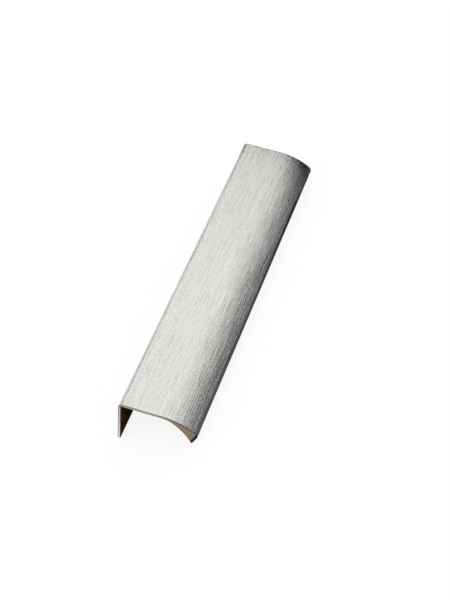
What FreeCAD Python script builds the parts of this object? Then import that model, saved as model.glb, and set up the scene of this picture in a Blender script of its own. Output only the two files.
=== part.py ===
import FreeCAD, Part
import math
import os
import Sketcher

# Handleless finger pull profile: one length of extruded metal, screwed to the back of a door or drawer front.
# Section, seen along the length: a flat top that lies on the door's edge, a thin flange that hangs down
# behind the door, and in front of the door a crown that rolls over into a wedge-shaped finger lip.
# Section axes: X runs forward from the back of the flange, Z runs up, and the top face is at Z = 0.
# The stock runs along Y, centred on the origin. Millimetres.

SIZES = [
    ("length", 200.0, "cut length of the stock"),
    ("depth", 40.0, "back of the flange to the front of the nose"),
    ("flange_height", 26.0, "top face to the foot of the flange"),
    ("wall", 1.5, "thickness of the flange and of the flat top"),
    ("back_radius", 2.5, "outside corner between the flange and the top"),
    ("foot_radius", 0.4, "edges of the flange's foot"),
    ("flat_depth", 21.5, "back of the flange to where the crown starts"),
    ("crown_radius", 31.0, "outside of the crown"),
    ("nose_radius", 2.8, "front edge of the lip"),
    ("lip_drop", 13.4, "top face to the lowest point of the lip"),
    ("tip_setback", 2.75, "front of the nose to the middle of the lip's tip"),
    ("tip_radius", 0.5, "tip of the lip"),
    ("underside_depth", 22.3, "back of the flange to where the hollow starts"),
    ("throat_radius", 10.0, "back part of the hollow under the crown"),
    ("finger_radius", 26.5, "front part of the hollow, down the inside of the lip"),
    ("hole_spacing", 160.0, "between the two screw holes"),
    ("hole_drop", 14.0, "top face to the middle of the screw holes"),
    ("hole_diameter", 4.0, "screw holes"),
    ("sink_diameter", 6.0, "countersink at the back of the flange"),
    ("sink_angle", 90.0, "full angle of the countersink, in degrees"),
]


def make_sheet(doc):
    sheet = doc.addObject("Spreadsheet::Sheet", "Sizes")
    for row, (alias, value, meaning) in enumerate(SIZES, start=1):
        sheet.set(f"A{row}", alias)
        sheet.set(f"B{row}", str(value))
        sheet.set(f"C{row}", meaning)
        sheet.setAlias(f"B{row}", alias)
    return sheet


def origin_plane(body, role):
    for item in body.Origin.OriginFeatures:
        if item.Role == role:
            return item
    raise ValueError(role)


def new_sketch(body, name, role):
    sketch = body.newObject("Sketcher::SketchObject", name)
    sketch.AttachmentSupport = [(origin_plane(body, role), "")]
    sketch.MapMode = "FlatFace"
    return sketch


def point(across, up):
    return FreeCAD.Vector(across, up, 0)


def arc(centre, radius, start, end):
    circle = Part.Circle(centre, FreeCAD.Vector(0, 0, 1), radius)
    return Part.ArcOfCircle(circle, start, end)


def line(start, end):
    return Part.LineSegment(start, end)


def bearing(start, end):
    return math.atan2(end.y - start.y, end.x - start.x)


def nose_centre(size):
    across = size.depth - size.nose_radius
    reach = size.crown_radius - size.nose_radius
    up = math.sqrt(reach ** 2 - (across - size.flat_depth) ** 2) - size.crown_radius
    return point(across, up)


def tip_centre(size):
    return point(size.depth - size.tip_setback, size.tip_radius - size.lip_drop)


def finger_centre(size, throat, tip):
    """The centre whose arc runs smoothly out of the throat's arc and into the tip's."""
    to_throat = size.finger_radius - size.throat_radius
    to_tip = size.finger_radius + size.tip_radius
    apart = throat.distanceToPoint(tip)
    along = (to_throat ** 2 - to_tip ** 2 + apart ** 2) / (2 * apart)
    aside = math.sqrt(to_throat ** 2 - along ** 2)
    forward = (tip - throat).normalize()
    backward_down = point(forward.y, -forward.x)
    return throat + forward * along + backward_down * aside


def section_curves(size):
    """The closed outline, each curve by name, in order round the section."""
    crown = point(size.flat_depth, -size.crown_radius)
    nose = nose_centre(size)
    tip = tip_centre(size)
    throat = point(size.underside_depth, -size.wall - size.throat_radius)
    finger = finger_centre(size, throat, tip)

    crown_end = bearing(crown, nose)
    spread = math.acos((size.nose_radius - size.tip_radius) / nose.distanceToPoint(tip))
    face = bearing(nose, tip) + spread
    outward = point(math.cos(face), math.sin(face))
    throat_end = bearing(finger, throat)
    tip_start = bearing(finger, tip)

    foot_level = size.foot_radius - size.flange_height
    foot_back = point(size.foot_radius, foot_level)
    foot_front = point(size.wall - size.foot_radius, foot_level)
    right = math.pi / 2
    return {
        "back": line(point(0, foot_level), point(0, -size.back_radius)),
        "corner": arc(point(size.back_radius, -size.back_radius), size.back_radius, right, math.pi),
        "top": line(point(size.back_radius, 0), point(size.flat_depth, 0)),
        "crown": arc(crown, size.crown_radius, crown_end, right),
        "nose": arc(nose, size.nose_radius, face, crown_end),
        "face": line(nose + outward * size.nose_radius, tip + outward * size.tip_radius),
        "tip": arc(tip, size.tip_radius, tip_start - math.pi, face),
        "finger": arc(finger, size.finger_radius, tip_start, throat_end),
        "throat": arc(throat, size.throat_radius, throat_end, right),
        "underside": line(point(size.underside_depth, -size.wall), point(size.wall, -size.wall)),
        "inner": line(point(size.wall, -size.wall), point(size.wall, foot_level)),
        "foot_front": arc(foot_front, size.foot_radius, -right, 0),
        "foot": line(point(foot_front.x, -size.flange_height), point(foot_back.x, -size.flange_height)),
        "foot_back": arc(foot_back, size.foot_radius, math.pi, math.pi + right),
    }


START, END, CENTRE = 1, 2, 3
AXES, ORIGIN = -1, 1

SMOOTH_JOINTS = [
    ("back", END, "corner", END),
    ("corner", START, "top", START),
    ("top", END, "crown", END),
    ("crown", START, "nose", END),
    ("nose", START, "face", START),
    ("face", END, "tip", END),
    ("tip", START, "finger", START),
    ("finger", END, "throat", START),
    ("throat", END, "underside", START),
    ("inner", END, "foot_front", END),
    ("foot_front", START, "foot", START),
    ("foot", END, "foot_back", END),
    ("foot_back", START, "back", START),
]

RADII = [
    ("corner", "back_radius"),
    ("crown", "crown_radius"),
    ("nose", "nose_radius"),
    ("tip", "tip_radius"),
    ("finger", "finger_radius"),
    ("throat", "throat_radius"),
    ("foot_front", "foot_radius"),
    ("foot_back", "foot_radius"),
]

FORWARD_OF_BACK = [
    ("back", START, "0 mm"),
    ("crown", CENTRE, "Sizes.flat_depth"),
    ("nose", CENTRE, "Sizes.depth - Sizes.nose_radius"),
    ("tip", CENTRE, "Sizes.depth - Sizes.tip_setback"),
    ("throat", CENTRE, "Sizes.underside_depth"),
    ("inner", END, "Sizes.wall"),
]

BELOW_TOP = [
    ("top", START, "0 mm"),
    ("underside", END, "Sizes.wall"),
    ("foot", START, "Sizes.flange_height"),
    ("tip", CENTRE, "Sizes.lip_drop - Sizes.tip_radius"),
]


def bind(sketch, constraint, name, expression):
    number = sketch.addConstraint(constraint)
    sketch.renameConstraint(number, name)
    sketch.setExpression(f"Constraints.{name}", expression)


def end_point(curve, place):
    if place == CENTRE:
        return curve.Center
    return curve.StartPoint if place == START else curve.EndPoint


def draw_section(body, size):
    sketch = new_sketch(body, "Section", "XZ_Plane")
    curves = section_curves(size)
    number = {name: sketch.addGeometry(curve, False) for name, curve in curves.items()}
    for first, first_end, second, second_end in SMOOTH_JOINTS:
        joint = Sketcher.Constraint("Tangent", number[first], first_end, number[second], second_end)
        sketch.addConstraint(joint)
    corner = Sketcher.Constraint("Coincident", number["underside"], END, number["inner"], START)
    sketch.addConstraint(corner)
    for name in ("back", "inner"):
        sketch.addConstraint(Sketcher.Constraint("Vertical", number[name]))
    for name in ("top", "underside", "foot"):
        sketch.addConstraint(Sketcher.Constraint("Horizontal", number[name]))
    for name, alias in RADII:
        radius = Sketcher.Constraint("Radius", number[name], curves[name].Radius)
        bind(sketch, radius, f"{name}_radius", f"Sizes.{alias}")
    for name, place, expression in FORWARD_OF_BACK:
        value = end_point(curves[name], place).x
        across = Sketcher.Constraint("DistanceX", AXES, ORIGIN, number[name], place, value)
        bind(sketch, across, f"{name}_forward", expression)
    for name, place, expression in BELOW_TOP:
        value = -end_point(curves[name], place).y
        down = Sketcher.Constraint("DistanceY", number[name], place, AXES, ORIGIN, value)
        bind(sketch, down, f"{name}_below", expression)
    return sketch


def extrude(body, section):
    pad = body.newObject("PartDesign::Pad", "Stock")
    pad.Profile = section
    pad.SideType = "Symmetric"
    pad.setExpression("Length", "Sizes.length")
    return pad


def drill(doc, body, size):
    """Two screw holes through the flange, countersunk from the back."""
    sketch = new_sketch(body, "HoleCentres", "YZ_Plane")
    for side in (-1, 1):
        centre = point(side * size.hole_spacing / 2, -size.hole_drop)
        circle = Part.Circle(centre, FreeCAD.Vector(0, 0, 1), size.hole_diameter / 2)
        number = sketch.addGeometry(circle, False)
        name = "left" if side < 0 else "right"
        across = Sketcher.Constraint("DistanceX", AXES, ORIGIN, number, CENTRE, centre.x)
        bind(sketch, across, f"{name}_across", f"{side} * Sizes.hole_spacing / 2")
        down = Sketcher.Constraint("DistanceY", number, CENTRE, AXES, ORIGIN, size.hole_drop)
        bind(sketch, down, f"{name}_below", "Sizes.hole_drop")
        width = Sketcher.Constraint("Diameter", number, size.hole_diameter)
        bind(sketch, width, f"{name}_diameter", "Sizes.hole_diameter")
    hole = body.newObject("PartDesign::Hole", "ScrewHoles")
    hole.Profile = sketch
    doc.recompute()
    hole.Reversed = True
    hole.DepthType = "Dimension"
    hole.DrillPoint = "Flat"
    hole.HoleCutType = "Countersink"
    hole.HoleCutCustomValues = True
    hole.setExpression("Depth", "2 * Sizes.wall")
    hole.setExpression("Diameter", "Sizes.hole_diameter")
    hole.setExpression("HoleCutDiameter", "Sizes.sink_diameter")
    hole.setExpression("HoleCutCountersinkAngle", "Sizes.sink_angle")
    return hole


def rest_tilt(size):
    """The angle, in degrees, at which the foot's front edge and the lip's tip stand on one level."""
    tip = tip_centre(size)
    foot = point(size.wall - size.foot_radius, size.foot_radius - size.flange_height)
    lean = math.asin((size.foot_radius - size.tip_radius) / foot.distanceToPoint(tip))
    return math.degrees(bearing(foot, tip) + lean)


def set_down(body, tilt):
    """Turns the profile about its length until it rests, and centres it over the origin."""
    body.Placement = FreeCAD.Placement(FreeCAD.Vector(), FreeCAD.Rotation(FreeCAD.Vector(0, 1, 0), tilt))
    box = body.Shape.optimalBoundingBox()
    body.Placement.Base = FreeCAD.Vector(-box.Center.x, -box.Center.y, -box.ZMin)


def check(doc, body):
    for item in doc.Objects:
        if "Invalid" in item.State or "Error" in item.State:
            raise RuntimeError(f"{item.Name}: {item.State}")
    if body.Shape.isNull() or not body.Shape.isValid() or len(body.Shape.Solids) != 1:
        raise RuntimeError(f"{body.Label}: the shape isn't one sound solid")


class Size:
    """The spreadsheet's numbers by their aliases."""

    def __init__(self, sheet):
        for alias, _value, _meaning in SIZES:
            setattr(self, alias, float(sheet.get(alias)))


def main():
    doc = FreeCAD.newDocument("FingerPull")
    sheet = make_sheet(doc)
    doc.recompute()
    size = Size(sheet)

    body = doc.addObject("PartDesign::Body", "Profile")
    body.Label = "finger_pull_profile"
    section = draw_section(body, size)
    stock = extrude(body, section)
    doc.recompute()
    uncut = stock.Shape.Volume
    holes = drill(doc, body, size)
    body.Tip = holes
    doc.recompute()
    if holes.Shape.Volume >= uncut:
        raise RuntimeError("the screw holes cut nothing")
    tilt = rest_tilt(size)
    set_down(body, tilt)
    doc.recompute()
    check(doc, body)

    os.makedirs("parts", exist_ok=True)
    body.Shape.exportStep(f"parts/{body.Label}.step")
    box = body.Shape.optimalBoundingBox()
    print(f"section free of {section.solve()} faults, fully constrained: {section.FullyConstrained}")
    print(f"uncut {uncut:.1f} mm3, drilled {body.Shape.Volume:.1f} mm3, tilt {tilt:.3f} degrees")
    print(f"box {box.XMin:.3f} {box.YMin:.3f} {box.ZMin:.3f} to {box.XMax:.3f} {box.YMax:.3f} {box.ZMax:.3f}")


main()
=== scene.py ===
import math

import bmesh
import bpy
from mathutils import Matrix, Vector


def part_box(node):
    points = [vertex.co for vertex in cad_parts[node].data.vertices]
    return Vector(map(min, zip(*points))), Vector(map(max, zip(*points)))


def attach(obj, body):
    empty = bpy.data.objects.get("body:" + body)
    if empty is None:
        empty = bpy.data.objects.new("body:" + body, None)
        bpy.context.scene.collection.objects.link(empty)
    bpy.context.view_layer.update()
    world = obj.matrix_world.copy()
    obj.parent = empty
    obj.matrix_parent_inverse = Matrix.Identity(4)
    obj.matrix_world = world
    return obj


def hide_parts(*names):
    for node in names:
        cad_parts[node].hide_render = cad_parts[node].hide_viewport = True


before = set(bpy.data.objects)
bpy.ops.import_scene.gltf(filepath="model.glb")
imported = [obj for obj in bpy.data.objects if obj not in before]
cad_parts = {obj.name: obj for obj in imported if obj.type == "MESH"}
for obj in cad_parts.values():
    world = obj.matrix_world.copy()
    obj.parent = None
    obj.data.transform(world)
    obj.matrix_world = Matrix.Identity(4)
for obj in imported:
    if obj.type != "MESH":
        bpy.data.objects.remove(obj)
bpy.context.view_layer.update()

# Handleless finger pull profile: an extruded, brushed metal section, at rest on its flange's foot and its
# lip's tip. The section is drawn in its own axes, forward from the back of the flange and up from the flat
# top, and is then turned about its length into the place where the frame's profile rests. Metres.

NODE = "finger_pull_profile"
MM = 0.001

LENGTH = 200 * MM
DEPTH = 40 * MM
FLANGE_HEIGHT = 26 * MM
WALL = 1.5 * MM
BACK_RADIUS = 2.5 * MM
FOOT_RADIUS = 0.4 * MM
FLAT_DEPTH = 21.5 * MM
CROWN_RADIUS = 31 * MM
NOSE_RADIUS = 2.8 * MM
LIP_DROP = 13.4 * MM
TIP_SETBACK = 2.75 * MM
TIP_RADIUS = 0.5 * MM
UNDERSIDE_DEPTH = 22.3 * MM
THROAT_RADIUS = 10 * MM
FINGER_RADIUS = 26.5 * MM
HOLE_SPACING = 160 * MM
HOLE_DROP = 14 * MM
HOLE_RADIUS = 2 * MM
SINK_RADIUS = 3 * MM

END_BREAK = 0.25 * MM  # radius of the worn edge round each sawn end
RIM_BREAK = 0.1 * MM  # width of the worn edge round each screw hole

# How far the painted shade along the worn edge reaches in over a sawn end, by its place in the section
OUTER_EDGE = 0.5 * MM
INNER_EDGE = 0.3 * MM
FOOT_EDGE = 0.38 * MM  # below the foot's radius, so that the line doesn't fold over itself
CORNER_EDGE = 0.42 * MM
TIP_EDGE = 0.45 * MM
LIP_EDGE = 0.8 * MM

# Where a sawn end's colour, painted light and shade by place, changes across the resting piece
FLANGE_COLOR_TO = -15.5 * MM
TOP_COLOR_FROM = -12.5 * MM
TOP_COLOR_TO = 5 * MM

# How near the lip's outer face a sawn end is painted nearly black with shade, and how far from it that
# painted shade has faded
LIP_BLACK_TO = 1.2 * MM
LIP_FADED_FROM = 2.0 * MM

RIGHT = math.pi / 2
FINEST_TURN = math.radians(3)
SHARP_TURN = math.radians(35)
BREAK_STEPS = 3
HOLE_STEPS = 72
SAME_PLACE = 1e-7
SECTION_MAP = "Section"

# The studio: its floor, and how far its longest cards reach along the piece
FLOOR_REACH = 6.0
ROOM_NEAR = -0.8
ROOM_FAR = 1.2
CARD_LIFT = 0.1 * MM


# The section

def bearing(start, end):
    return math.atan2(end.y - start.y, end.x - start.x)


def at(centre, radius, angle):
    return centre + radius * Vector((math.cos(angle), math.sin(angle)))


def arc(centre, radius, start, end):
    """Points from one angle to the other, both ends included, no further apart than the finest turn."""
    steps = max(4, math.ceil(abs(end - start) / FINEST_TURN))
    return [at(centre, radius, start + (end - start) * i / steps) for i in range(steps + 1)]


def nose_centre():
    forward = DEPTH - NOSE_RADIUS
    reach = CROWN_RADIUS - NOSE_RADIUS
    return Vector((forward, math.sqrt(reach ** 2 - (forward - FLAT_DEPTH) ** 2) - CROWN_RADIUS))


def tip_centre():
    return Vector((DEPTH - TIP_SETBACK, TIP_RADIUS - LIP_DROP))


def lip_facing():
    """The direction that the lip's flat outer face looks in."""
    nose, tip = nose_centre(), tip_centre()
    return bearing(nose, tip) + math.acos((NOSE_RADIUS - TIP_RADIUS) / (tip - nose).length)


def finger_centre(throat, tip):
    """The centre whose arc runs smoothly out of the throat's arc and into the tip's."""
    to_throat = FINGER_RADIUS - THROAT_RADIUS
    to_tip = FINGER_RADIUS + TIP_RADIUS
    apart = (tip - throat).length
    along = (to_throat ** 2 - to_tip ** 2 + apart ** 2) / (2 * apart)
    aside = math.sqrt(to_throat ** 2 - along ** 2)
    forward = (tip - throat).normalized()
    return throat + forward * along + Vector((forward.y, -forward.x)) * aside


def section_runs():
    """The outline's runs from the foot up the back and round.

    Each has its finish, the width of the painted shade along the sawn end's edge where it starts and ends,
    and its points.
    """
    crown = Vector((FLAT_DEPTH, -CROWN_RADIUS))
    nose = nose_centre()
    tip = tip_centre()
    throat = Vector((UNDERSIDE_DEPTH, -WALL - THROAT_RADIUS))
    finger = finger_centre(throat, tip)
    corner = Vector((BACK_RADIUS, -BACK_RADIUS))
    foot_back = Vector((FOOT_RADIUS, FOOT_RADIUS - FLANGE_HEIGHT))
    foot_front = Vector((WALL - FOOT_RADIUS, foot_back.y))

    crown_end = bearing(crown, nose)
    throat_end = bearing(finger, throat)
    tip_start = bearing(finger, tip)
    return [
        ("brushed", FOOT_EDGE, FOOT_EDGE, arc(foot_back, FOOT_RADIUS, -RIGHT, -2 * RIGHT)),
        ("brushed", OUTER_EDGE, OUTER_EDGE, arc(corner, BACK_RADIUS, 2 * RIGHT, RIGHT)),
        ("brushed", OUTER_EDGE, OUTER_EDGE, arc(crown, CROWN_RADIUS, RIGHT, crown_end)),
        ("brushed", OUTER_EDGE, OUTER_EDGE, arc(nose, NOSE_RADIUS, crown_end, lip_facing())),
        ("brushed", TIP_EDGE, TIP_EDGE, arc(tip, TIP_RADIUS, lip_facing(), tip_start - math.pi)),
        ("plain", TIP_EDGE, LIP_EDGE, arc(finger, FINGER_RADIUS, tip_start, throat_end)),
        ("plain", LIP_EDGE, INNER_EDGE, arc(throat, THROAT_RADIUS, throat_end, RIGHT)),
        ("plain", CORNER_EDGE, CORNER_EDGE, [Vector((WALL, -WALL))]),
        ("plain", FOOT_EDGE, FOOT_EDGE, arc(foot_front, FOOT_RADIUS, 0, -RIGHT)),
    ]


def section_outline():
    """The closed outline: its points, the finish that starts at each, and the width of the painted shade
    along the sawn end's edge at each.
    """
    outline = []
    for finish, first_edge, last_edge, run in section_runs():
        for i, point in enumerate(run):
            if outline and (point - outline[-1][0]).length < SAME_PLACE:
                outline.pop()
            edge = first_edge + (last_edge - first_edge) * i / max(1, len(run) - 1)
            outline.append((point, finish, edge))
    return zip(*outline)


def inward(points):
    """At each point, the step that moves both of its sides inwards by one."""
    steps = []
    for i, point in enumerate(points):
        before = (point - points[i - 1]).normalized()
        after = (points[(i + 1) % len(points)] - point).normalized()
        first = Vector((before.y, -before.x))
        second = Vector((after.y, -after.x))
        steps.append((first + second) / (1 + first.dot(second)))
    return steps


# The place of the resting profile

def rest_tilt():
    foot = Vector((WALL - FOOT_RADIUS, FOOT_RADIUS - FLANGE_HEIGHT))
    tip = tip_centre()
    return bearing(foot, tip) + math.asin((FOOT_RADIUS - TIP_RADIUS) / (tip - foot).length)


def rest_place(points):
    """Section axes (forward, along, up) to the frame's axes."""
    turn = Matrix.Rotation(rest_tilt(), 4, "Y")
    turned = [turn @ Vector((p.x, 0, p.y)) for p in points]
    low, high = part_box(NODE)
    across = (low.x + high.x) / 2 - (min(p.x for p in turned) + max(p.x for p in turned)) / 2
    up = low.z - min(p.z for p in turned)
    return Matrix.Translation((across, (low.y + high.y) / 2, up)) @ turn


# The stock's mesh

def end_rings():
    """From one end to the other: how far along each ring of the bar lies, and how far it is drawn in.

    The innermost ring at each end keeps the shading of the worn edge off the long faces.
    """
    turns = [RIGHT * i / BREAK_STEPS for i in range(BREAK_STEPS + 1)]
    rings = [(LENGTH / 2 - 2 * END_BREAK, 0.0)]
    rings += [(LENGTH / 2 - END_BREAK * (1 - math.sin(t)), END_BREAK * (1 - math.cos(t))) for t in turns]
    return [(-along, drawn) for along, drawn in reversed(rings)] + rings


def stock_rings(mesh, points, edges):
    """The bar's points in rings; in the first and last ring they lie on the inner side of the painted shade
    along each sawn end's edge.
    """
    steps = inward(points)
    rows = [(along, [drawn] * len(points)) for along, drawn in end_rings()]
    rows = [(-LENGTH / 2, edges)] + rows + [(LENGTH / 2, edges)]
    rings = []
    for along, drawn in rows:
        places = [p + s * d for p, s, d in zip(points, steps, drawn)]
        rings.append([mesh.verts.new((p.x, along, p.y)) for p in places])
    return rings


def lengths_round(points):
    """How far round the outline each point lies, and at the end the whole way round."""
    lengths = [0.0]
    for i in range(len(points)):
        lengths.append(lengths[-1] + (points[(i + 1) % len(points)] - points[i]).length)
    return lengths


def stock_mesh(points, finishes, edges, slots):
    """The extruded bar with its worn ends.

    Its map holds the distance round the section and along the length.
    On the sawn ends and their worn edges it holds the place in the section.
    """
    mesh = bmesh.new()
    section_map = mesh.loops.layers.uv.new(SECTION_MAP)
    rings = stock_rings(mesh, points, edges)
    around = lengths_round(points)
    worn = BREAK_STEPS + 1  # strips of faces at each end, with the one that lies in the sawn end
    for r in range(len(rings) - 1):
        is_edge_strip = r < worn or r >= len(rings) - 1 - worn
        for i in range(len(points)):
            j = (i + 1) % len(points)
            face = mesh.faces.new((rings[r][i], rings[r + 1][i], rings[r + 1][j], rings[r][j]))
            # the worn edge's strips and the strip that lies in the sawn end take the edge finish's painted
            # shade
            face.material_index = slots["edge" if is_edge_strip else finishes[i]]
            face.smooth = True
            for loop, place in zip(face.loops, (around[i], around[i], around[i + 1], around[i + 1])):
                section_place = (loop.vert.co.x, loop.vert.co.z)
                loop[section_map].uv = section_place if is_edge_strip else (place, loop.vert.co.y)
    for ring in (rings[0], list(reversed(rings[-1]))):
        face = mesh.faces.new(ring)
        face.material_index = slots["sawn"]
        for loop in face.loops:
            loop[section_map].uv = (loop.vert.co.x, loop.vert.co.z)
    bmesh.ops.recalc_face_normals(mesh, faces=mesh.faces)
    return mesh


def drill_mesh(slots):
    """Two turned cutters with the shape of a countersunk hole, in section axes."""
    sink_depth = SINK_RADIUS - HOLE_RADIUS
    past = 1 * MM  # how far the cutters reach past the flange
    profile = [
        (-past, 0),
        (-past, SINK_RADIUS + past),
        (sink_depth, HOLE_RADIUS),
        (WALL - RIM_BREAK, HOLE_RADIUS),
        (WALL + past, HOLE_RADIUS + RIM_BREAK + past),
        (WALL + past, 0),
    ]
    mesh = bmesh.new()
    for side in (-1, 1):
        axis = Vector((0, side * HOLE_SPACING / 2, -HOLE_DROP))
        verts = [mesh.verts.new(axis + Vector((forward, 0, radius))) for forward, radius in profile]
        edges = [mesh.edges.new(pair) for pair in zip(verts, verts[1:])]
        bmesh.ops.spin(
            mesh,
            geom=verts + edges,
            cent=axis,
            axis=(1, 0, 0),
            angle=2 * math.pi,
            steps=HOLE_STEPS,
            use_merge=True,
        )
    bmesh.ops.remove_doubles(mesh, verts=mesh.verts, dist=SAME_PLACE)
    bmesh.ops.recalc_face_normals(mesh, faces=mesh.faces)
    for face in mesh.faces:
        face.material_index = slots["drilled"]
        face.smooth = True
    return mesh


def make_object(name, mesh, materials):
    data = bpy.data.meshes.new(name)
    mesh.to_mesh(data)
    mesh.free()
    for material in materials:
        data.materials.append(material)
    made = bpy.data.objects.new(name, data)
    bpy.context.scene.collection.objects.link(made)
    return made


def cut(target, cutter):
    """Takes the cutter out of the target, for good."""
    modifier = target.modifiers.new("holes", "BOOLEAN")
    modifier.operation = "DIFFERENCE"
    modifier.solver = "EXACT"
    modifier.object = cutter
    evaluated = target.evaluated_get(bpy.context.evaluated_depsgraph_get())
    data = bpy.data.meshes.new_from_object(evaluated)
    target.modifiers.clear()
    target.data = data
    bpy.data.objects.remove(cutter)


def make_profile():
    """The whole piece, finished all over, in place of the frame's plain solid."""
    finish = {
        "brushed": brushed_finish(),
        "plain": plain_shaded_finish(),
        "sawn": sawn_finish_painted_light(),
        "edge": shaded_edge_finish(),
        "drilled": drilled_finish(),
    }
    slots = {name: i for i, name in enumerate(finish)}
    points, finishes, edges = section_outline()
    profile = make_object("brushed_profile", stock_mesh(points, finishes, edges, slots), finish.values())
    cutter = make_object("drills", drill_mesh(slots), finish.values())
    cut(profile, cutter)
    profile.data.transform(rest_place(points))
    profile.data.set_sharp_from_angle(angle=SHARP_TURN)
    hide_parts(NODE)
    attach(profile, "root")


# Materials

class NodeMaterial:
    """A material whose nodes are added and joined in one call each."""

    def __init__(self, name):
        self.material = bpy.data.materials.new(name)
        self.material.use_nodes = True
        self.tree = self.material.node_tree

    def node(self, kind, inputs=None, **settings):
        made = self.tree.nodes.new(kind)
        for key, value in settings.items():
            setattr(made, key, value)
        for key, value in (inputs or {}).items():
            self.feed(made.inputs[key], value)
        return made

    def feed(self, socket, value):
        """Joins another node's output to the socket, or sets the socket's own value."""
        if isinstance(value, bpy.types.NodeSocket):
            self.tree.links.new(value, socket)
        else:
            socket.default_value = value

    def place_along(self, axis):
        """How far along one of the frame's axes a point of the surface lies."""
        place = self.node("ShaderNodeTexCoord").outputs["Object"]
        return self.node("ShaderNodeSeparateXYZ", {0: place}).outputs[axis]

    def spread(self, value, low, high, lowest=0.3, highest=0.7):
        """The stretch of a value between lowest and highest, spread between two other numbers."""
        made = self.node(
            "ShaderNodeMapRange",
            {"Value": value, "From Min": lowest, "From Max": highest, "To Min": low, "To Max": high},
        )
        return made.outputs["Result"]

    def math(self, operation, first, second):
        return self.node("ShaderNodeMath", {0: first, 1: second}, operation=operation).outputs[0]


class Finish(NodeMaterial):
    """A finish of the metal, with the tools for its strokes, marks and colours."""

    def __init__(self, name):
        super().__init__(name)
        self.shader = self.tree.nodes["Principled BSDF"]

    def surface(self, **values):
        for key, value in values.items():
            self.feed(self.shader.inputs[key.replace("_", " ").title()], value)

    def section_map(self):
        return self.node("ShaderNodeUVMap", uv_map=SECTION_MAP).outputs["UV"]

    def streaks(self, place, width, length, detail=1.0, roughness=0.55, seed=0.0, turn=0.0):
        """Noise in streaks of about this width and length; a turn breaks up the noise's rows."""
        scaled = self.node(
            "ShaderNodeMapping",
            {
                "Vector": place,
                "Location": (seed, seed * 0.7, 0),
                "Rotation": (0, 0, turn),
                "Scale": (1 / width, 1 / length, 1),
            },
        )
        noise = self.node(
            "ShaderNodeTexNoise",
            {
                "Vector": scaled.outputs["Vector"],
                "Scale": 1.0,
                "Detail": detail,
                "Roughness": roughness,
                "Distortion": 0.15,
            },
            noise_dimensions="2D",
        )
        return noise.outputs["Fac"]

    def blend(self, factor, first, second):
        """A colour from the first to the second, each of them a colour or a node's output."""
        ends = [end if isinstance(end, bpy.types.NodeSocket) else (*end, 1) for end in (first, second)]
        made = self.node("ShaderNodeMixRGB", {"Fac": factor, "Color1": ends[0], "Color2": ends[1]})
        return made.outputs["Color"]

    def slopes(self, noise, steepest):
        """A noise as slopes, from the steepest one way to the steepest the other way."""
        return self.spread(noise, -steepest, steepest, lowest=0.0, highest=1.0)

    def tipped(self, across, along):
        """The way the surface faces when it is tipped by these slopes across and along its strokes."""
        halves = [self.spread(slope, 0.0, 1.0, lowest=-1.0, highest=1.0) for slope in (across, along)]
        color = self.node("ShaderNodeCombineXYZ", {"X": halves[0], "Y": halves[1], "Z": 1.0}).outputs[0]
        made = self.node(
            "ShaderNodeNormalMap",
            {"Color": color, "Strength": 1.0},
            space="TANGENT",
            uv_map=SECTION_MAP,
        )
        return made.outputs["Normal"]

    def bump(self, height, distance, facing=None):
        """Raises the surface by a height, over the way it faces already."""
        made = self.node("ShaderNodeBump", {"Height": height, "Strength": 1.0, "Distance": distance})
        if facing:
            self.feed(made.inputs["Normal"], facing)
        self.feed(self.shader.inputs["Normal"], made.outputs["Normal"])


class Backdrop(NodeMaterial):
    """A material of the studio, with no nodes but its output and those that are added."""

    def __init__(self, name):
        super().__init__(name)
        self.tree.nodes.clear()
        self.out = self.tree.nodes.new("ShaderNodeOutputMaterial")

    def shown_as(self, shader):
        """The material, with this shader's node as its surface."""
        self.feed(self.out.inputs["Surface"], shader.outputs[0])
        return self.material


# The finishes of the piece

def brushed_finish():
    """Strokes along the length, of uneven width and depth, over a pale warm grey metal.

    The long strokes are raised. The short ones, too fine for that, tip the surface one way or the other.
    """
    f = Finish("brushed_metal")
    place = f.section_map()
    long_strokes = f.streaks(place, width=0.5 * MM, length=40 * MM)
    bands = f.streaks(place, width=3 * MM, length=60 * MM, seed=5.0)
    scratches = f.streaks(place, width=0.5 * MM, length=14 * MM, seed=23.0)
    scratches = f.spread(scratches, 0.0, 0.3, lowest=0.62, highest=0.75)
    streaky = f.math("ADD", long_strokes, f.math("MULTIPLY", bands, 0.3))
    streaky = f.math("SUBTRACT", streaky, scratches)

    short_strokes = f.streaks(place, width=0.42 * MM, length=2.0 * MM, seed=11.0, turn=0.2)
    cross_strokes = f.streaks(place, width=0.45 * MM, length=1.4 * MM, seed=31.0, turn=-0.3)
    deep_strokes = f.streaks(place, width=0.5 * MM, length=15 * MM, detail=0.0, seed=41.0)
    across = f.math("ADD", f.slopes(short_strokes, steepest=0.24), f.slopes(deep_strokes, steepest=0.09))
    facing = f.tipped(across, f.slopes(cross_strokes, steepest=0.13))

    darker = (0.764, 0.757, 0.733)
    paler = (0.916, 0.906, 0.88)
    shades = f.math("ADD", f.math("MULTIPLY", streaky, 1.6), f.math("MULTIPLY", short_strokes, 1.7))
    f.surface(
        base_color=f.blend(f.spread(shades, 0.0, 1.0, lowest=1.58, highest=2.04), darker, paler),
        metallic=1.0,
        roughness=f.spread(bands, 0.26, 0.32),
        anisotropic=0.9,
        tangent=f.node("ShaderNodeTangent", direction_type="UV_MAP", uv_map=SECTION_MAP).outputs["Tangent"],
    )
    f.bump(streaky, 0.1 * MM, facing)
    return f.material


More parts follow.
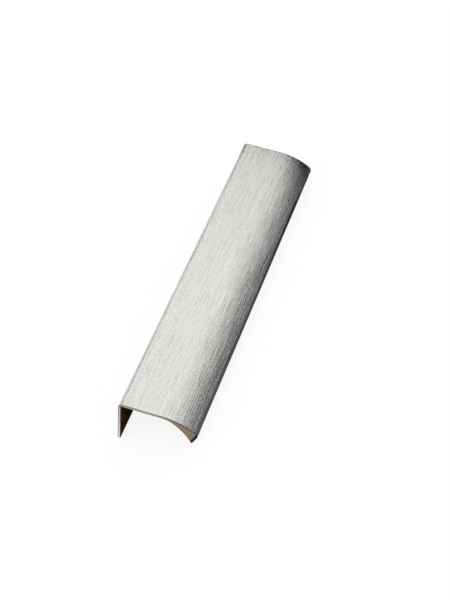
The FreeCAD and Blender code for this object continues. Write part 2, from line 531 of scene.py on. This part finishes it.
def plain_shaded_finish():
    """The unbrushed inside, with the faint lines that the die leaves along the length; its darker brown is
    partly painted shade.
    """
    f = Finish("plain_shaded_metal")
    place = f.section_map()
    lines = f.streaks(place, width=0.25 * MM, length=400 * MM, detail=4.0, roughness=0.7)
    blotches = f.streaks(place, width=6 * MM, length=25 * MM, detail=3.0, seed=3.0)
    darker = (0.36, 0.29, 0.21)
    paler = (0.45, 0.37, 0.28)
    f.surface(
        base_color=f.blend(f.spread(blotches, 0.0, 1.0), darker, paler),
        metallic=1.0,
        roughness=f.spread(lines, 0.30, 0.42),
    )
    f.bump(lines, 0.012 * MM)
    return f.material


def painted_lip_shade(f, color):
    """A sawn end's colour, with painted shade, nearly black, in a band along the lip's outer face and round
    its tip.
    """
    painted_black_shade = (0.012, 0.009, 0.006)
    facing = at(Vector((0, 0)), 1, lip_facing())
    outermost = nose_centre().dot(facing) + NOSE_RADIUS
    reach = f.node("ShaderNodeVectorMath", {0: f.section_map(), 1: (*facing, 0)}, operation="DOT_PRODUCT")
    band = f.spread(
        reach.outputs["Value"],
        0.0,
        1.0,
        lowest=outermost - LIP_FADED_FROM,
        highest=outermost - LIP_BLACK_TO,
    )
    return f.blend(band, color, painted_black_shade)


def end_color_painted_light(f, marks, flange, top, lip, lip_from):
    """A sawn end's colour from the flange over the top to the lip, each with a darker and a paler colour,
    painted light and shade by place.

    The marks blend the two. Across the resting piece the lip's colours are reached at lip_from.
    """
    forward = f.place_along("X")
    over_top = f.spread(forward, 0.0, 1.0, lowest=FLANGE_COLOR_TO, highest=TOP_COLOR_FROM)
    over_lip = f.spread(forward, 0.0, 1.0, lowest=TOP_COLOR_TO, highest=lip_from)
    color = f.blend(over_top, f.blend(marks, *flange), f.blend(marks, *top))
    return painted_lip_shade(f, f.blend(over_lip, color, f.blend(marks, *lip)))


def sawn_finish_painted_light():
    """The bare cut ends with the saw's marks, and painted light and shade: pale on the flange, grey on the
    top and tan at the lip.
    """
    f = Finish("sawn_metal_painted_light")
    marks = f.streaks(f.section_map(), width=30 * MM, length=0.12 * MM, detail=2.0)
    marks = f.spread(marks, 0.0, 1.0)
    color = end_color_painted_light(
        f,
        marks,
        flange=((0.75, 0.675, 0.57), (0.86, 0.78, 0.665)),
        top=((0.33, 0.315, 0.285), (0.41, 0.395, 0.36)),
        lip=((0.218, 0.168, 0.124), (0.297, 0.234, 0.178)),
        lip_from=11 * MM,
    )
    f.surface(base_color=color, metallic=1.0, roughness=0.4)
    f.bump(marks, 0.007 * MM)
    return f.material


def shaded_edge_finish():
    """The worn edge round a sawn end, darkened with painted shade: dark on the flange, grey on the top,
    brown at the lip.
    """
    f = Finish("shaded_edge_metal")
    nicks = f.streaks(f.section_map(), width=0.6 * MM, length=0.6 * MM, detail=3.0)
    color = end_color_painted_light(
        f,
        f.spread(nicks, 0.0, 1.0),
        flange=((0.09, 0.08, 0.065), (0.15, 0.14, 0.115)),
        top=((0.25, 0.235, 0.205), (0.34, 0.32, 0.285)),
        lip=((0.12, 0.085, 0.055), (0.19, 0.14, 0.095)),
        lip_from=14 * MM,
    )
    f.surface(base_color=color, metallic=1.0, roughness=0.5)
    return f.material


def drilled_finish():
    """The turned walls of the screw holes."""
    f = Finish("drilled_metal")
    place = f.node("ShaderNodeTexCoord").outputs["Object"]
    rings = f.streaks(place, width=0.15 * MM, length=2 * MM, detail=2.0)
    darker = (0.50, 0.49, 0.47)
    paler = (0.64, 0.63, 0.61)
    f.surface(
        base_color=f.blend(f.spread(rings, 0.0, 1.0), darker, paler),
        metallic=1.0,
        roughness=f.spread(rings, 0.28, 0.4),
    )
    f.bump(rings, 0.006 * MM)
    return f.material


# The studio

def glow(name, color):
    """An even light."""
    m = Backdrop(name)
    return m.shown_as(m.node("ShaderNodeEmission", {"Color": (*color, 1)}))


def glow_along(name, axis, dark_from, pale_from, darkest=0.02, palest=1.0):
    """A light that changes along an axis, from the darkest at one place to the palest at another."""
    m = Backdrop(name)
    level = m.spread(m.place_along(axis), darkest, palest, lowest=dark_from, highest=pale_from)
    return m.shown_as(m.node("ShaderNodeEmission", {"Color": level}))


def floor_material():
    """Pale where it lights the piece.

    Where it is seen, also in reflections, it is white with a faint shadow.
    """
    pale = 0.9
    shade = 0.12
    m = Backdrop("pale_floor")
    path = m.node("ShaderNodeLightPath")
    seen = path.outputs["Is Camera Ray"]
    for kind in ("Is Glossy Ray", "Is Transmission Ray"):
        seen = m.math("MAXIMUM", seen, path.outputs[kind])
    lit = m.node("ShaderNodeBsdfDiffuse", {"Color": (pale, pale, pale, 1)})
    shaded = m.node("ShaderNodeBsdfDiffuse", {"Color": (shade, shade, shade, 1)})
    white = m.node("ShaderNodeEmission", {"Strength": 1 - shade})
    both = m.node("ShaderNodeAddShader", {0: shaded.outputs[0], 1: white.outputs[0]})
    return m.shown_as(m.node("ShaderNodeMixShader", {0: seen, 1: lit.outputs[0], 2: both.outputs[0]}))


def make_floor():
    mesh = bmesh.new()
    bmesh.ops.create_grid(mesh, x_segments=1, y_segments=1, size=FLOOR_REACH)
    make_object("floor", mesh, [floor_material()])


def reflected_only(card):
    """A card of the studio: it gives no light and no shadow, and only the metal's gloss shows it."""
    card.visible_camera = False
    card.visible_diffuse = False
    card.visible_shadow = False
    card.visible_transmission = False


def flat_card(name, material, corners):
    mesh = bmesh.new()
    mesh.faces.new([mesh.verts.new(corner) for corner in corners])
    reflected_only(make_object(name, mesh, [material]))


def floor_card(name, material, left, right, near, far):
    """A card just above the floor."""
    corners = [(left, near), (right, near), (right, far), (left, far)]
    flat_card(name, material, [(x, y, CARD_LIFT) for x, y in corners])


def upright_card(name, material, along, corners):
    """A card that stands across the piece, this far along it, with its corners' places across and up."""
    flat_card(name, material, [(x, along, z) for x, z in corners])


def long_card(name, material, radius, from_angle, to_angle):
    """A card along the piece, bent round it, between two angles from the floor on the lip's side."""
    steps = 40
    mesh = bmesh.new()
    rows = []
    for i in range(steps + 1):
        angle = math.radians(from_angle + (to_angle - from_angle) * i / steps)
        x, z = radius * math.cos(angle), radius * math.sin(angle)
        rows.append((mesh.verts.new((x, ROOM_NEAR, z)), mesh.verts.new((x, ROOM_FAR, z))))
    for one, two in zip(rows, rows[1:]):
        mesh.faces.new((one[0], two[0], two[1], one[1]))
    reflected_only(make_object(name, mesh, [material]))


def make_side_cards():
    """Along the sides: dark low down on the lip's side and grey on the flange's side."""
    radius = 0.5
    low_angle = 28
    high_angle = 62
    dark_to = radius * math.sin(math.radians(low_angle))
    pale_from = radius * math.sin(math.radians(high_angle))
    long_card("lip_side_card", glow_along("lip_side_light", "Z", dark_to, pale_from), radius, 0, high_angle)
    long_card("flange_side_card", glow("grey_light", (0.3, 0.3, 0.3)), 0.07, 117, 142)


def make_floor_cards():
    """On the floor: below the piece, from its near end to its far end, painted shade of the floor under it;
    and then out on the lip's side.
    """
    below = (-0.021, 0.018)
    near_end = -0.1
    brown_to = -0.086
    deep_to = -0.06
    far_end = 0.1
    # painted shade: dark cards under the piece, where it shades the floor, seen only in the metal's
    # reflections
    floor_card("inside_shade_card", glow("brown_shade_light", (0.03, 0.014, 0.003)), *below, near_end, brown_to)
    floor_card("deep_shade_card", glow("deep_shade_light", (0.006, 0.005, 0.004)), *below, brown_to, deep_to)
    floor_card("under_shade_card", glow("under_shade_light", (0.2, 0.19, 0.18)), *below, deep_to, far_end)

    beside = (below[1], 0.03)
    beyond = (beside[1], 0.06)
    aside = (beyond[1], 0.5)
    past_end = 0.11
    dark = glow_along("beside_light", "Y", 0.05, -0.07, darkest=0.012, palest=0.09)
    floor_card("beside_card", dark, *beside, near_end, past_end)
    floor_card("beyond_card", dark, *beyond, ROOM_NEAR, past_end)
    floor_card("side_card", dark, *aside, ROOM_NEAR, ROOM_FAR)


def make_end_cards():
    """Past the far end, for the tones that the top, the crown and the lip take towards it."""
    bottom = [(-0.06, 0.02), (0.0, 0.02), (0.02, 0.01), (0.3, 0.01)]
    top = [
        (0.3, 0.08),
        (0.06, 0.056),
        (0.045, 0.05),
        (0.033, 0.048),
        (0.005, 0.049),
        (-0.01, 0.054),
        (-0.06, 0.055),
    ]
    upright_card("end_card", glow("end_light", (0.02, 0.02, 0.02)), 0.14, bottom + top)

    low = 0.03
    high = 0.18
    haze = glow_along("haze_light", "Z", low, high, darkest=0.75)
    upright_card("haze_card", haze, 0.145, [(-0.1, low), (0.03, low), (0.1, high), (-0.1, high)])

    corners = [(0.02, 0), (0.045, 0), (0.045, 0.022), (0.02, 0.028)]
    upright_card("corner_card", glow("corner_light", (0.005, 0.005, 0.005)), 0.112, corners)


def make_cards():
    """Dark and grey cards, whose reflections draw the metal's shape against the white studio."""
    make_side_cards()
    make_floor_cards()
    make_end_cards()


def make_world():
    world = bpy.data.worlds.new("studio")
    bpy.context.scene.world = world
    world.use_nodes = True
    back = world.node_tree.nodes["Background"]
    back.inputs["Color"].default_value = (1, 1, 1, 1)
    back.inputs["Strength"].default_value = 1.0


def make_camera():
    """At the photograph's viewing angle, found by fitting the section to its outlines."""
    lens = 87.86
    place = Vector((0.30646, -0.50585, 0.49039))
    elevation, azimuth, roll = (math.radians(a) for a in (39.78, 31.14, -19.33))
    turn = Matrix.Rotation(azimuth, 4, "Z") @ Matrix.Rotation(RIGHT - elevation, 4, "X")
    turn = turn @ Matrix.Rotation(roll, 4, "Z")
    data = bpy.data.cameras.new("camera")
    data.lens = lens
    data.sensor_width = 36
    data.clip_start = 0.01
    camera = bpy.data.objects.new("camera", data)
    camera.matrix_world = Matrix.Translation(place) @ turn
    bpy.context.scene.collection.objects.link(camera)
    bpy.context.scene.camera = camera


make_camera()
make_world()
make_floor()
make_cards()
make_profile()
bpy.context.scene.view_settings.view_transform = "Standard"
